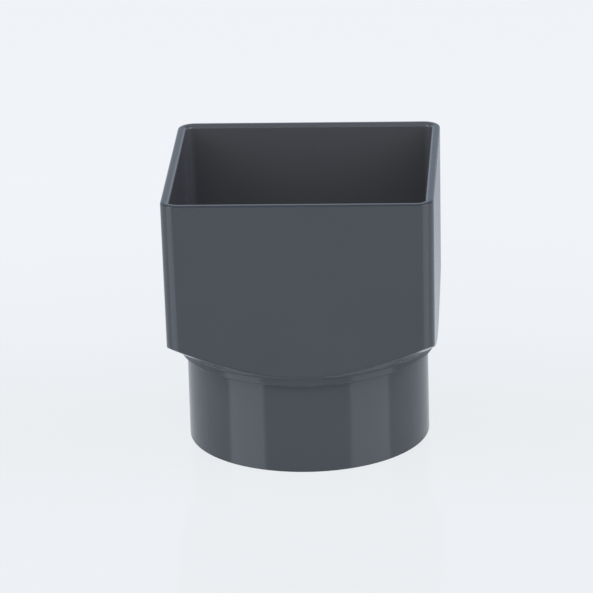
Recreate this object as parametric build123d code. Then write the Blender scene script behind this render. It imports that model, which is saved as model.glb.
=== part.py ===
from build123d import *
import math
import os

# A rainwater adapter, moulded in one piece, that leads a square downpipe into a round one.
# The square socket is up, the round spigot stands on its end at z = 0, and Z is their axis.
# Sizes are in millimetres and angles in degrees.

# The square end: a socket over a square pipe
square_pipe = 65.0
socket_clearance = 0.65
socket_wall = 2.35
socket_corner_radius = 2.2
outer_corner_radius = 4.5
draft = 0.54

# The round end: a spigot inside a round pipe, whose end stops under the collar
round_pipe_bore = 64.8
spigot_clearance = 0.2
spigot_wall = 2.05
spigot_length = 24.85
collar_step = 2.05
collar_height = 2.25

# The flare between the two ends, and the whole height
flare_angle = 31.7
height = 75.3

# Edge rounds of the moulding
rim_outer_round = 0.6
rim_inner_round = 1.0
flare_round = 0.8
collar_round = 0.5
spigot_end_round = 0.4

# Two edges closer than this in height count as level with each other
same_height = 0.01

# What follows from the sizes above
socket_width = square_pipe + 2 * socket_clearance
rim_width = socket_width + 2 * socket_wall
spigot_radius = round_pipe_bore / 2 - spigot_clearance
bore_radius = spigot_radius - spigot_wall
collar_radius = spigot_radius + collar_step
collar_top = spigot_length + collar_height
flare_slope = math.tan(math.radians(flare_angle))
flare_wall_rise = socket_wall / math.cos(math.radians(flare_angle))


def square_block(width, corner_radius, bottom):
    """A square block below the rim plane, slimmer towards its bottom by the draft, with round corners."""
    rim_plane = Plane(origin=(0, 0, height), z_dir=(0, 0, -1))
    block = extrude(rim_plane * Rectangle(width, width), amount=height - bottom, taper=draft)
    # By height, the uprights come between the four edges of the bottom and the four of the rim.
    uprights = block.edges().sort_by(Axis.Z)[4:8]
    return fillet(uprights, radius=corner_radius)


def turned(*outline):
    """The solid of revolution of an outline given as (radius, z) corners."""
    return revolve(Plane.XZ * make_face(Polyline(*outline, close=True)), axis=Axis.Z)


def flare_space(radius, z):
    """All that lies above the flare's cone, which passes through this radius and height."""
    reach = rim_width
    return turned(
        (0, z - flare_slope * radius),
        (reach, z + flare_slope * (reach - radius)),
        (reach, height + flare_slope * reach),
        (0, height + flare_slope * reach),
    )


def round_off_flare(form):
    """Rounds the edge where the flare cuts the square sides."""
    # The flare's other edges are straight or arcs.
    flare = form.faces().filter_by(GeomType.CONE)
    plain = (GeomType.LINE, GeomType.CIRCLE)
    crease = [edge for edge in flare.edges() if edge.geom_type not in plain]
    return fillet(crease, radius=flare_round)


def outer_form():
    """The adapter as it looks from outside, without its hollow."""
    square_end = square_block(rim_width, outer_corner_radius, spigot_length)
    square_end = round_off_flare(square_end & flare_space(collar_radius, collar_top))
    # The round end has a roof as steep as the flare, which fills the flare where the square doesn't reach.
    round_end = turned(
        (0, 0),
        (spigot_radius, 0),
        (spigot_radius, spigot_length),
        (collar_radius, spigot_length),
        (collar_radius, collar_top),
        (0, collar_top + flare_slope * collar_radius),
    )
    return square_end + round_end


def hollow():
    """The way through: the socket, the flare that stops the square pipe, and the bore."""
    bore_top = collar_top - flare_slope * (collar_radius - bore_radius) + flare_wall_rise
    socket = square_block(socket_width, socket_corner_radius, bore_top)
    socket = socket & flare_space(bore_radius, bore_top)
    bore = turned(
        (0, 0),
        (bore_radius, 0),
        (bore_radius, bore_top),
        (0, bore_top + flare_slope * bore_radius),
    )
    return socket + bore


def round_rim(body):
    """Rounds the mouth of the socket, outside and inside."""
    rim = body.faces().sort_by(Axis.Z)[-1]
    body = fillet(rim.outer_wire().edges(), radius=rim_outer_round)
    rim = body.faces().sort_by(Axis.Z)[-1]
    return fillet(rim.inner_wires()[0].edges(), radius=rim_inner_round)


def round_spigot(body):
    """Rounds the spigot's end and the collar that the round pipe stops under."""
    end = body.faces().sort_by(Axis.Z)[0]
    body = fillet(end.edges(), radius=spigot_end_round)
    circles = body.edges().filter_by(GeomType.CIRCLE)
    shoulder = [edge for edge in circles if abs(edge.center().Z - spigot_length) < same_height]
    return fillet(shoulder, radius=collar_round)


def adapter_body():
    """The finished moulding, with its edges rounded."""
    body = outer_form() - hollow()
    return round_spigot(round_rim(body))


os.makedirs("parts", exist_ok=True)
body = adapter_body()
body.label = "adapter_body"
export_step(body, "parts/adapter_body.step")
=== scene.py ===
import math

import bmesh
import bpy
from mathutils import Matrix, Vector


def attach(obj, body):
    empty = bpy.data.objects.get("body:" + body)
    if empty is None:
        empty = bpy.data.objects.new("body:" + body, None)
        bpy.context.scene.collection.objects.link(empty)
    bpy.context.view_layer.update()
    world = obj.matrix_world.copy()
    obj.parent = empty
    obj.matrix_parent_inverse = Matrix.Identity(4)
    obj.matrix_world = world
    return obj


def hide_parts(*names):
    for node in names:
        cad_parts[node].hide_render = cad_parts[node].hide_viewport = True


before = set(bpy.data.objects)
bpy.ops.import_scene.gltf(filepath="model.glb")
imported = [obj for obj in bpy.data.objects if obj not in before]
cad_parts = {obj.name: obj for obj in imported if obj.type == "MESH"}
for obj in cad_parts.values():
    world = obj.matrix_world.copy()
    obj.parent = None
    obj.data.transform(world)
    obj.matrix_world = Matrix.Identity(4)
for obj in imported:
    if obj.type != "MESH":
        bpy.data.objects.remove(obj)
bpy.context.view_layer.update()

MM = 0.001

# Sizes of the moulding, the same as in the part's source
SOCKET_WIDTH = 66.3 * MM
SOCKET_WALL = 2.35 * MM
SOCKET_CORNER_RADIUS = 2.2 * MM
OUTER_CORNER_RADIUS = 4.5 * MM
DRAFT = math.radians(0.54)
SPIGOT_RADIUS = 32.2 * MM
SPIGOT_WALL = 2.05 * MM
SPIGOT_LENGTH = 24.85 * MM
COLLAR_STEP = 2.05 * MM
COLLAR_HEIGHT = 2.25 * MM
FLARE_ANGLE = math.radians(31.7)
HEIGHT = 75.3 * MM

# Edge rounds
RIM_OUTER_ROUND = 0.6 * MM
RIM_INNER_ROUND = 1.0 * MM
COLLAR_ROUND = 0.5 * MM
SPIGOT_END_ROUND = 0.4 * MM

# The crease between walls and flare: its round is widest at this distance from a wall's middle
CREASE_ROUND = 0.7 * MM
CREASE_ROUND_LEAST = 0.33 * MM
CREASE_WIDEST_AT = 18 * MM
CREASE_WIDE_REACH = 10 * MM

# How finely the round forms are drawn
TURNS = 384
CORNER_SEGMENTS = 14
RIM_SEGMENTS = 7
CREASE_SEGMENTS = 6

# How far the forms run past the ends before they are cut
SPARE = 2 * MM

# What follows from the sizes above
RIM_WIDTH = SOCKET_WIDTH + 2 * SOCKET_WALL
BORE_RADIUS = SPIGOT_RADIUS - SPIGOT_WALL
COLLAR_RADIUS = SPIGOT_RADIUS + COLLAR_STEP
COLLAR_TOP = SPIGOT_LENGTH + COLLAR_HEIGHT
FLARE_SLOPE = math.tan(FLARE_ANGLE)
FLARE_REACH = RIM_WIDTH
BORE_TOP = COLLAR_TOP - FLARE_SLOPE * (COLLAR_RADIUS - BORE_RADIUS) + SOCKET_WALL / math.cos(FLARE_ANGLE)

# How exact places are, and which vertices count as one
SAME_HEIGHT = 0.01 * MM
SAME_PLACE = 0.002 * MM

# The z of a face's normal, up or down: near 0 for a wall, in between for the flare, 1 for a level face
WALL_LIFT = 0.1
FLARE_LIFTS = (0.6, 0.95)
LEVEL_LIFTS = (0.99, 1.01)

# Faces that meet at less than this angle are shaded as one surface
SMOOTH_BELOW = math.radians(40)


# Modelling helpers

def select_only(*pieces):
    """Selects these objects and nothing else. The last one becomes the active one."""
    bpy.ops.object.select_all(action="DESELECT")
    for piece in pieces:
        piece.select_set(True)
    bpy.context.view_layer.objects.active = pieces[-1]


def begin(name, primitive, **settings):
    """Adds a primitive with nothing else selected, and opens it in edit mode."""
    bpy.ops.object.select_all(action="DESELECT")
    primitive(enter_editmode=True, **settings)
    piece = bpy.context.object
    piece.name = name
    return piece


def end(piece):
    """Closes edit mode and puts the object's place into its mesh."""
    bpy.ops.object.mode_set(mode="OBJECT")
    bpy.ops.object.transform_apply(location=True, rotation=True, scale=True)
    return piece


def pick(piece, kind, test):
    """Selects the edges or faces that pass a test, and nothing else."""
    bpy.ops.mesh.select_mode(type="VERT")
    bpy.ops.mesh.select_all(action="DESELECT")
    bpy.ops.mesh.select_mode(type=kind)
    mesh = bmesh.from_edit_mesh(piece.data)
    for part in mesh.edges if kind == "EDGE" else mesh.faces:
        part.select_set(test(part))
    bmesh.update_edit_mesh(piece.data)


def at_height(z):
    """A test for edges and faces that lie level at a height."""
    return lambda part: all(abs(vertex.co.z - z) < SAME_HEIGHT for vertex in part.verts)


def meets_wall(edge, least, most):
    """Does a side wall meet a face there whose normal has a z between these two?"""
    lifts = sorted(abs(face.normal.z) for face in edge.link_faces)
    return len(lifts) == 2 and lifts[0] < WALL_LIFT and least < lifts[1] < most


def middle(edge):
    return (edge.verts[0].co + edge.verts[1].co) / 2


def face_outwards():
    """Turns every face of a closed solid outwards."""
    bpy.ops.mesh.select_all(action="SELECT")
    bpy.ops.mesh.normals_make_consistent(inside=False)


def round_edges(radius, segments):
    """Rounds the selected edges."""
    bpy.ops.mesh.bevel(affect="EDGES", offset=radius, segments=segments, profile=0.5)


# The moulding

def turned(name, outline):
    """A turned solid, drawn ring by ring through an outline of (radius, z) corners."""
    radius, z = outline[0]
    piece = begin(name, bpy.ops.mesh.primitive_circle_add, vertices=TURNS, radius=radius, fill_type="NGON")
    bpy.ops.transform.translate(value=(0, 0, z))
    for next_radius, next_z in outline[1:]:
        widening = next_radius / radius
        bpy.ops.mesh.extrude_region_move(TRANSFORM_OT_translate={"value": (0, 0, next_z - z)})
        bpy.ops.transform.resize(value=(widening, widening, 1), center_override=(0, 0, 0))
        radius, z = next_radius, next_z
    face_outwards()
    return end(piece)


def square_block(name, width, corner_radius):
    """A square block with round corners, slimmer towards its bottom by the draft."""
    depth = HEIGHT + SPARE
    piece = begin(name, bpy.ops.mesh.primitive_plane_add, size=width)
    bpy.ops.transform.translate(value=(0, 0, HEIGHT))
    bpy.ops.mesh.inset(thickness=depth * math.tan(DRAFT), depth=-depth, use_even_offset=True)
    pick(piece, "EDGE", lambda edge: edge.is_boundary)
    bpy.ops.mesh.edge_face_add()
    face_outwards()
    pick(piece, "EDGE", lambda edge: abs(edge.verts[0].co.z - edge.verts[1].co.z) > depth / 2)
    round_edges(corner_radius, CORNER_SEGMENTS)
    return end(piece)


def keep_common(piece, other):
    """Keeps what two solids share."""
    cut = piece.modifiers.new("common", "BOOLEAN")
    cut.operation = "INTERSECT"
    cut.solver = "EXACT"
    cut.object = other
    bpy.context.view_layer.objects.active = piece
    bpy.ops.object.modifier_apply(modifier=cut.name)
    bpy.data.objects.remove(other)
    return piece


def round_crease(form):
    """Rounds the crease between walls and flare, finest at the corners and at the middle of each wall."""
    mesh = bmesh.from_edit_mesh(form.data)
    weight = mesh.edges.layers.float.new("bevel_weight_edge")
    for edge in mesh.edges:
        if meets_wall(edge, *FLARE_LIFTS):
            place = middle(edge)
            from_middle = min(abs(place.x), abs(place.y))
            fine = min(abs(from_middle - CREASE_WIDEST_AT) / CREASE_WIDE_REACH, 1)
            edge[weight] = 1 - fine * (1 - CREASE_ROUND_LEAST / CREASE_ROUND)
    bmesh.update_edit_mesh(form.data)
    bpy.ops.object.mode_set(mode="OBJECT")
    rounding = form.modifiers.new("crease", "BEVEL")
    rounding.limit_method = "WEIGHT"
    rounding.width = CREASE_ROUND
    rounding.segments = CREASE_SEGMENTS
    rounding.use_clamp_overlap = False
    # Sliding along the flare's facets would fold the narrow ones at the corners.
    rounding.loop_slide = False
    bpy.ops.object.modifier_apply(modifier=rounding.name)
    form.data.attributes.remove(form.data.attributes["bevel_weight_edge"])
    bpy.ops.object.mode_set(mode="EDIT")


def open_form(name, width, corner_radius, outline):
    """A square block cut to a turned outline, its crease rounded and its ends open, left in edit mode."""
    form = keep_common(square_block(name, width, corner_radius), turned("turned_outline", outline))
    select_only(form)
    bpy.ops.object.mode_set(mode="EDIT")
    bpy.ops.mesh.select_all(action="SELECT")
    bpy.ops.mesh.remove_doubles(threshold=SAME_PLACE)
    round_crease(form)
    pick(form, "FACE", lambda face: at_height(0)(face) or at_height(HEIGHT)(face))
    bpy.ops.mesh.delete(type="ONLY_FACE")
    return form


def outer_form():
    """The outside: square walls, flare, collar and spigot."""
    form = open_form(
        "adapter_moulding", RIM_WIDTH, OUTER_CORNER_RADIUS,
        [
            (SPIGOT_RADIUS, 0),
            (SPIGOT_RADIUS, SPIGOT_LENGTH),
            (COLLAR_RADIUS, SPIGOT_LENGTH),
            (COLLAR_RADIUS, COLLAR_TOP),
            (FLARE_REACH, COLLAR_TOP + FLARE_SLOPE * (FLARE_REACH - COLLAR_RADIUS)),
            (FLARE_REACH, HEIGHT + SPARE),
        ],
    )
    return end(form)


def hollow_form():
    """The inside: socket, flare and bore, with faces that look into the hollow."""
    form = open_form(
        "hollow", SOCKET_WIDTH, SOCKET_CORNER_RADIUS,
        [
            (BORE_RADIUS, 0),
            (BORE_RADIUS, BORE_TOP),
            (FLARE_REACH, BORE_TOP + FLARE_SLOPE * (FLARE_REACH - BORE_RADIUS)),
            (FLARE_REACH, HEIGHT + SPARE),
        ],
    )
    bpy.ops.mesh.select_all(action="SELECT")
    bpy.ops.mesh.flip_normals()
    return end(form)


def round_ring(piece, z, radius, inner):
    """Rounds the inner or the outer edge of the level ring at a height."""
    def wanted(edge):
        if not at_height(z)(edge) or not meets_wall(edge, *LEVEL_LIFTS):
            return False
        wall = min(edge.link_faces, key=lambda face: abs(face.normal.z))
        place = middle(edge)
        outward = wall.normal.x * place.x + wall.normal.y * place.y > 0
        return outward != inner
    pick(piece, "EDGE", wanted)
    round_edges(radius, RIM_SEGMENTS)


def moulding():
    """The whole adapter: an outer form and a hollow, joined at the rim and at the spigot's end."""
    outer = outer_form()
    hollow = hollow_form()
    select_only(hollow, outer)
    bpy.ops.object.join()
    bpy.ops.object.mode_set(mode="EDIT")
    for z in (0, HEIGHT):
        pick(outer, "EDGE", lambda edge: edge.is_boundary and at_height(z)(edge))
        bpy.ops.mesh.bridge_edge_loops()
    round_ring(outer, HEIGHT, RIM_OUTER_ROUND, inner=False)
    round_ring(outer, HEIGHT, RIM_INNER_ROUND, inner=True)
    round_ring(outer, 0, SPIGOT_END_ROUND, inner=False)
    round_ring(outer, 0, SPIGOT_END_ROUND, inner=True)
    pick(outer, "EDGE", lambda edge: at_height(SPIGOT_LENGTH)(edge) and meets_wall(edge, *LEVEL_LIFTS))
    round_edges(COLLAR_ROUND, CREASE_SEGMENTS)
    return end(outer)


def finish_surface(piece):
    """Smooth shading in which the flat walls stay flat and the rounds turn between them."""
    select_only(piece)
    bpy.ops.object.shade_smooth_by_angle(angle=SMOOTH_BELOW)
    weighted = piece.modifiers.new("wall normals", "WEIGHTED_NORMAL")
    weighted.weight = 100
    weighted.keep_sharp = True
    bpy.ops.object.modifier_apply(modifier=weighted.name)


# Shader maths

class Value:
    """A number or colour that flows through a material's nodes, on which plain maths adds Math nodes."""

    def __init__(self, graph, socket):
        self.graph = graph
        self.socket = socket

    def maths(self, operation, first, second):
        return self.graph.node("ShaderNodeMath", {"operation": operation}, {0: first, 1: second})

    def __add__(self, other):
        return self.maths("ADD", self, other)

    def __radd__(self, other):
        return self.maths("ADD", other, self)

    def __mul__(self, other):
        return self.maths("MULTIPLY", self, other)

    def __rmul__(self, other):
        return self.maths("MULTIPLY", other, self)


class Graph:
    """The node tree of one material or of the world."""

    def __init__(self, tree):
        self.tree = tree
        tree.nodes.clear()

    def node(self, kind, settings=None, inputs=None, output=0):
        """Adds a node: its settings first, then the values or links of its sockets."""
        made = self.tree.nodes.new(kind)
        for name, setting in (settings or {}).items():
            if name == "stops":
                for element, (position, shade) in zip(made.color_ramp.elements, setting):
                    element.position = position
                    element.color = (shade, shade, shade, 1)
            else:
                setattr(made, name, setting)
        for name, given in (inputs or {}).items():
            if isinstance(given, Value):
                self.tree.links.new(given.socket, made.inputs[name])
            else:
                made.inputs[name].default_value = given
        return Value(self, made.outputs[output]) if made.outputs else None

    def noise(self, place, scale, detail):
        return self.node("ShaderNodeTexNoise", inputs={"Vector": place, "Scale": scale, "Detail": detail})

    def soft_step(self, value, start, finish):
        """0 up to the start and 1 from the finish on, with a smooth rise between them."""
        return self.node(
            "ShaderNodeMapRange", {"interpolation_type": "SMOOTHSTEP"},
            {"Value": value, "From Min": start, "From Max": finish},
        )

    def mix_colours(self, amount, first, second):
        # The Mix node keeps its colour sockets behind those for numbers and vectors.
        return self.node("ShaderNodeMix", {"data_type": "RGBA"}, {0: amount, 6: first, 7: second}, output=2)

    def mix_shaders(self, amount, first, second):
        return self.node("ShaderNodeMixShader", inputs={0: amount, 1: first, 2: second})

    def background(self, colour, strength):
        return self.node("ShaderNodeBackground", inputs={"Color": colour, "Strength": strength})

    def light_path(self, ray):
        return self.node("ShaderNodeLightPath", output=ray)

    def seen_rays(self):
        """1 for the camera's rays and for those that a mirror or glass sends on, 0 for scattered light."""
        through_glass = self.light_path("Is Transmission Ray")
        return self.light_path("Is Camera Ray") + self.light_path("Is Glossy Ray") + through_glass


def new_material(name):
    """An empty material and its graph."""
    material = bpy.data.materials.new(name)
    material.use_nodes = True
    return material, Graph(material.node_tree)


# The plastic: its tones, its painted light, and its patterns in repeats per metre
WALL_DARK = (0.0275, 0.0315, 0.036, 1)
WALL_PALE = (0.032, 0.036, 0.04, 1)
# Painted light: a paler tone inside the socket, standing in for light that the lamps don't bring into the
# hollow
INSIDE_PAINTED_LIGHT_TONE = (0.0565, 0.0585, 0.062, 1)
# Painted light: a paler tone on the flare's underside, standing in for light from the floor below
UNDERSIDE_PAINTED_LIGHT_TONE = (0.08, 0.088, 0.1, 1)
SPECK_TONE = (0.12, 0.125, 0.13, 1)
SPECK_STRENGTH = 0.2
CLOUDS = 35.0
WAVES = 28.0
GRAINS = 2600.0
SPECK_CELLS = 75.0
SPECK_EDGE = [(0.022, 1.0), (0.04, 0.0)]

# How rough the plastic is, and how much rougher its cloudy patches and its specks are
PLASTIC_ROUGHNESS = 0.1
CLOUD_ROUGHNESS = 0.04
SPECK_ROUGHNESS = 0.2

# How high the waves and the grain are, as shares of the relief
RELIEF = 0.5 * MM
RELIEF_STRENGTH = 0.25
WAVE_HEIGHT = 0.25
GRAIN_HEIGHT = 0.012

# Where the painted light fades in: distance from the axis, negative on faces that look inwards, and the
# normal's z
INSIDE_PAINTED_LIGHT_FADE = (-5 * MM, -15 * MM)
UNDERSIDE_PAINTED_LIGHT_FADE = (-0.6, -0.84)


def moulded_plastic():
    """Dark grey moulded plastic with a soft gloss, fine grain, a slight waviness and a few specks, and
    painted light that makes the inside of the socket and the flare's underside paler.
    """
    material, graph = new_material("moulded_plastic")
    place = graph.node("ShaderNodeTexCoord", output="Object")
    facing = graph.node("ShaderNodeTexCoord", output="Normal")

    cloud = graph.noise(place, CLOUDS, 3.0)
    wave = graph.noise(place, WAVES, 1.0)
    grain = graph.noise(place, GRAINS, 2.0)
    cell = graph.node("ShaderNodeTexVoronoi", {"feature": "F1"}, {"Vector": place, "Scale": SPECK_CELLS})
    specks = graph.node("ShaderNodeValToRGB", {"stops": SPECK_EDGE}, {"Fac": cell})

    # Inside, the normal points towards the axis. There the tone is paler: painted light inside the hollow.
    from_axis = graph.node("ShaderNodeVectorMath", {"operation": "MULTIPLY"}, {0: place, 1: (1, 1, 0)})
    outward = graph.node(
        "ShaderNodeVectorMath", {"operation": "DOT_PRODUCT"}, {0: from_axis, 1: facing}, output="Value"
    )
    inside = graph.soft_step(outward, *INSIDE_PAINTED_LIGHT_FADE)
    # The flare's underside is a little paler than the walls: painted light from the floor below.
    lift = graph.node("ShaderNodeSeparateXYZ", inputs={0: facing}, output="Z")
    underside = graph.soft_step(lift, *UNDERSIDE_PAINTED_LIGHT_FADE)

    base = graph.mix_colours(cloud, WALL_DARK, WALL_PALE)
    # Painted light: the inside of the socket and the flare's underside are made paler
    base = graph.mix_colours(inside, base, INSIDE_PAINTED_LIGHT_TONE)
    base = graph.mix_colours(underside, base, UNDERSIDE_PAINTED_LIGHT_TONE)
    base = graph.mix_colours(specks * SPECK_STRENGTH, base, SPECK_TONE)
    roughness = PLASTIC_ROUGHNESS + CLOUD_ROUGHNESS * cloud + SPECK_ROUGHNESS * specks
    height = wave * WAVE_HEIGHT + grain * GRAIN_HEIGHT
    bump = graph.node(
        "ShaderNodeBump", inputs={"Strength": RELIEF_STRENGTH, "Distance": RELIEF, "Height": height}
    )
    surface = graph.node(
        "ShaderNodeBsdfPrincipled",
        inputs={"Base Color": base, "Roughness": roughness, "Normal": bump, "IOR": 1.5},
    )
    graph.node("ShaderNodeOutputMaterial", inputs={"Surface": surface})
    return material


# The stage: one pale floor that also fills the background

FLOOR_SIZE = 6.0
FAR_TONE = (0.875, 0.892, 0.923, 1)
NEAR_TONE = (0.839, 0.862, 0.876, 1)
MIRRORED_FAR_TONE = (0.4, 0.41, 0.435, 1)
FLOOR_PAINT = (0.88, 0.9, 0.94, 1)

FLOOR_ROUGHNESS = 0.05

# The floor's tone turns from near to far between these two places along Y, in metres
NEAR_TO = -0.03
FAR_FROM = 0.22

# The share of plain tone, the share that mirrors, and what is added to that in a mirror's view
PLAIN_SHARE = 0.945
MIRROR_SHARE = 0.04
MIRROR_SHARE_ADDED = 0.37

# The room: its tones, its strengths, and where its low part ends
COOL_TONE = (0.63, 0.73, 0.85, 1)
CEILING_TONE = (0.9, 0.95, 1.0, 1)
CEILING_STRENGTH = 0.1
ROOM_TONE = (0.97, 0.98, 1.0, 1)
ROOM_BELOW = 0.4
ROOM_ABOVE = 0.15
LOW_UP_TO = 0.25
HIGH_FROM = 0.65


def pale_floor():
    """A pale floor with the background's tone, a faint shadow and a faint mirror image."""
    material, graph = new_material("pale_floor")
    place = graph.node("ShaderNodeTexCoord", output="Object")
    behind = graph.node("ShaderNodeSeparateXYZ", inputs={0: place}, output="Y")
    in_mirror = graph.light_path("Is Glossy Ray")
    far_tone = graph.mix_colours(in_mirror, FAR_TONE, MIRRORED_FAR_TONE)
    tone = graph.mix_colours(graph.soft_step(behind, NEAR_TO, FAR_FROM), NEAR_TONE, far_tone)
    glow = graph.node("ShaderNodeEmission", inputs={"Color": tone, "Strength": 1.0})
    paint = graph.node("ShaderNodeBsdfDiffuse", inputs={"Color": FLOOR_PAINT})
    mirror = graph.node(
        "ShaderNodeBsdfGlossy", inputs={"Color": (1, 1, 1, 1), "Roughness": FLOOR_ROUGHNESS}
    )
    matt = graph.mix_shaders(graph.seen_rays() * PLAIN_SHARE, paint, glow)
    surface = graph.mix_shaders(MIRROR_SHARE + MIRROR_SHARE_ADDED * in_mirror, matt, mirror)
    graph.node("ShaderNodeOutputMaterial", inputs={"Surface": surface})
    return material


def lay_floor():
    floor = end(begin("floor", bpy.ops.mesh.primitive_plane_add, size=FLOOR_SIZE))
    floor.data.materials.append(pale_floor())


def build_room():
    """The world: a plain backdrop for the camera, and a soft room for light and reflections."""
    world = bpy.data.worlds.new("studio")
    bpy.context.scene.world = world
    world.use_nodes = True
    graph = Graph(world.node_tree)
    direction = graph.node("ShaderNodeTexCoord", output="Generated")
    lift = graph.node("ShaderNodeSeparateXYZ", inputs={0: direction}, output="Z")
    low = graph.node(
        "ShaderNodeMapRange", inputs={"Value": lift, "From Min": HIGH_FROM, "From Max": LOW_UP_TO}
    )
    # A mirror shows a cooler backdrop near the horizon and a dark ceiling above it.
    ceiling = graph.background(CEILING_TONE, CEILING_STRENGTH)
    mirrored = graph.mix_shaders(low, ceiling, graph.background(COOL_TONE, 1.0))
    room_above = graph.background(ROOM_TONE, ROOM_ABOVE)
    room = graph.mix_shaders(low, room_above, graph.background(ROOM_TONE, ROOM_BELOW))
    indirect = graph.mix_shaders(graph.seen_rays(), room, mirrored)
    surface = graph.mix_shaders(graph.light_path("Is Camera Ray"), indirect, graph.background(FAR_TONE, 1.0))
    graph.node("ShaderNodeOutputWorld", inputs={"Surface": surface})


# Lamps and camera

LAMP_DISTANCE = 1.2
SOFTBOX_LIGHT = (0.84, 0.9, 1.0)
FRONT_LIGHT = (1.0, 1.0, 0.97)
SIDE_LIGHT = (0.79, 0.8, 1.0)
FILL_WIDTH = 0.95

# The camera, as fitted to the photo's 593 pixel square
PHOTO_PIXELS = 593
FOCAL_PIXELS = 5000.1
CAMERA_AZIMUTH = 3.53
CAMERA_ELEVATION = 19.718
CAMERA_ROLL = math.radians(-1.587)
CAMERA_DISTANCE = 1335.44 * MM
CAMERA_AIM = Vector((-2.645, 0, 37.723)) * MM


def towards(azimuth, elevation):
    """The direction from the object to a place around it. Azimuth 0 is in front, and positive is right."""
    side, lift = math.radians(azimuth), math.radians(elevation)
    return Vector((math.sin(side) * math.cos(lift), -math.cos(side) * math.cos(lift), math.sin(lift)))


def add_lamp(name, azimuth, elevation, width, height, radiance, colour):
    """A rectangular lamp that faces the object."""
    lamp = bpy.data.lights.new(name, "AREA")
    lamp.shape = "RECTANGLE"
    lamp.size = width
    lamp.size_y = height
    lamp.energy = radiance * math.pi * width * height
    lamp.color = colour
    holder = bpy.data.objects.new(name, lamp)
    bpy.context.scene.collection.objects.link(holder)
    place = towards(azimuth, elevation)
    holder.location = Vector((0, 0, HEIGHT / 2)) + LAMP_DISTANCE * place
    holder.rotation_euler = place.to_track_quat("Z", "Y").to_euler()
    return holder


def light_scene():
    """Two tall softboxes at the sides, and four fills that leave no highlight."""
    add_lamp("softbox_left", -59, 27, 0.78, 0.98, 2.2, SOFTBOX_LIGHT)
    add_lamp("softbox_right", 63.8, 27, 0.88, 0.98, 1.8, SOFTBOX_LIGHT)
    for name, azimuth, elevation, height, radiance, colour in (
        ("fill_front", 0, 38, 0.7, 3.2, FRONT_LIGHT),
        ("fill_low", 0, 9, 0.3, 2.3, FRONT_LIGHT),
        ("fill_left", -85, 38, 0.7, 6.2, SIDE_LIGHT),
        ("fill_right", 85, 38, 0.7, 5.9, SIDE_LIGHT),
    ):
        fill = add_lamp(name, azimuth, elevation, FILL_WIDTH, height, radiance, colour)
        fill.visible_glossy = False


def place_camera():
    camera = bpy.data.cameras.new("camera")
    camera.sensor_width = 36
    camera.lens = FOCAL_PIXELS * camera.sensor_width / PHOTO_PIXELS
    camera.clip_start = 0.01
    camera.clip_end = 20
    back = towards(CAMERA_AZIMUTH, CAMERA_ELEVATION)
    side = math.radians(CAMERA_AZIMUTH)
    level = Vector((math.cos(side), math.sin(side), 0))
    upright = back.cross(level)
    right = math.cos(CAMERA_ROLL) * level + math.sin(CAMERA_ROLL) * upright
    up = math.cos(CAMERA_ROLL) * upright - math.sin(CAMERA_ROLL) * level
    holder = bpy.data.objects.new("camera", camera)
    bpy.context.scene.collection.objects.link(holder)
    turn = Matrix((right, up, back)).transposed().to_4x4()
    holder.matrix_world = Matrix.Translation(CAMERA_AIM + CAMERA_DISTANCE * back) @ turn
    bpy.context.scene.camera = holder


place_camera()
adapter = moulding()
finish_surface(adapter)
adapter.data.materials.clear()
adapter.data.materials.append(moulded_plastic())
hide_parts("adapter_body")
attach(adapter, "root")
lay_floor()
build_room()
light_scene()

bpy.context.scene.view_settings.view_transform = "Standard"
